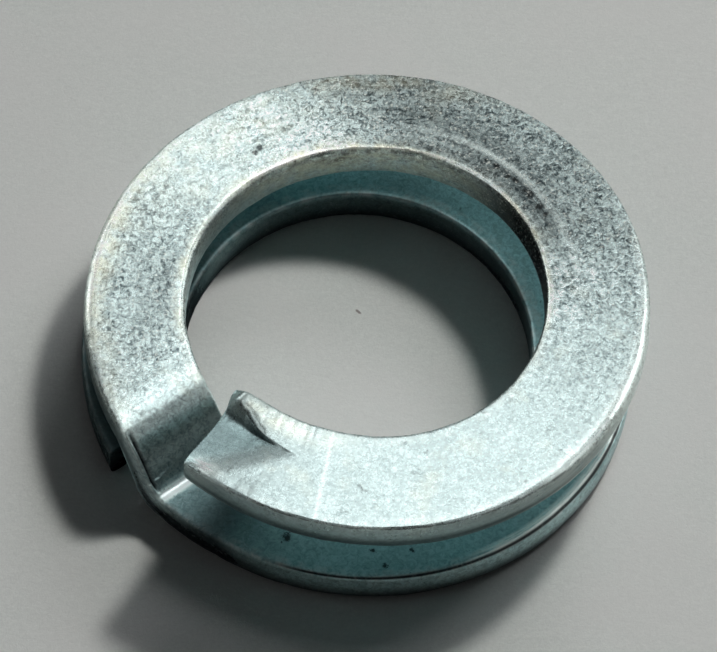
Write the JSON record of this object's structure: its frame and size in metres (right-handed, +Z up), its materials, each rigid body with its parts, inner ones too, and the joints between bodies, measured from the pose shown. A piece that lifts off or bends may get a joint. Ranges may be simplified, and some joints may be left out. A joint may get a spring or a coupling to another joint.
{
  "type": "double-coil spring lock washer",
  "caption": "Double-coil spring lock washer: flat steel strip wound edgewise into two sprung turns joined by a short joggle, with free cut ends.",
  "frame": {"origin": "on the bore axis at the flat underside of the lower turn", "axes": "+Z up along the bore axis, towards the upper turn; +X to the side of the ring with no joggle, so that the cut tip lies at 233 degrees counter-clockwise from +X"},
  "size_m": [0.0262, 0.0262, 0.0075],
  "materials": {
    "plated_steel": "bright zinc plating with a blue-white passivated bloom over cold-rolled spring steel, fine mottled grain, small nicks on the edges"
  },
  "bodies": {
    "root": {"washer": "plated_steel"}
  },
  "joints": []
}
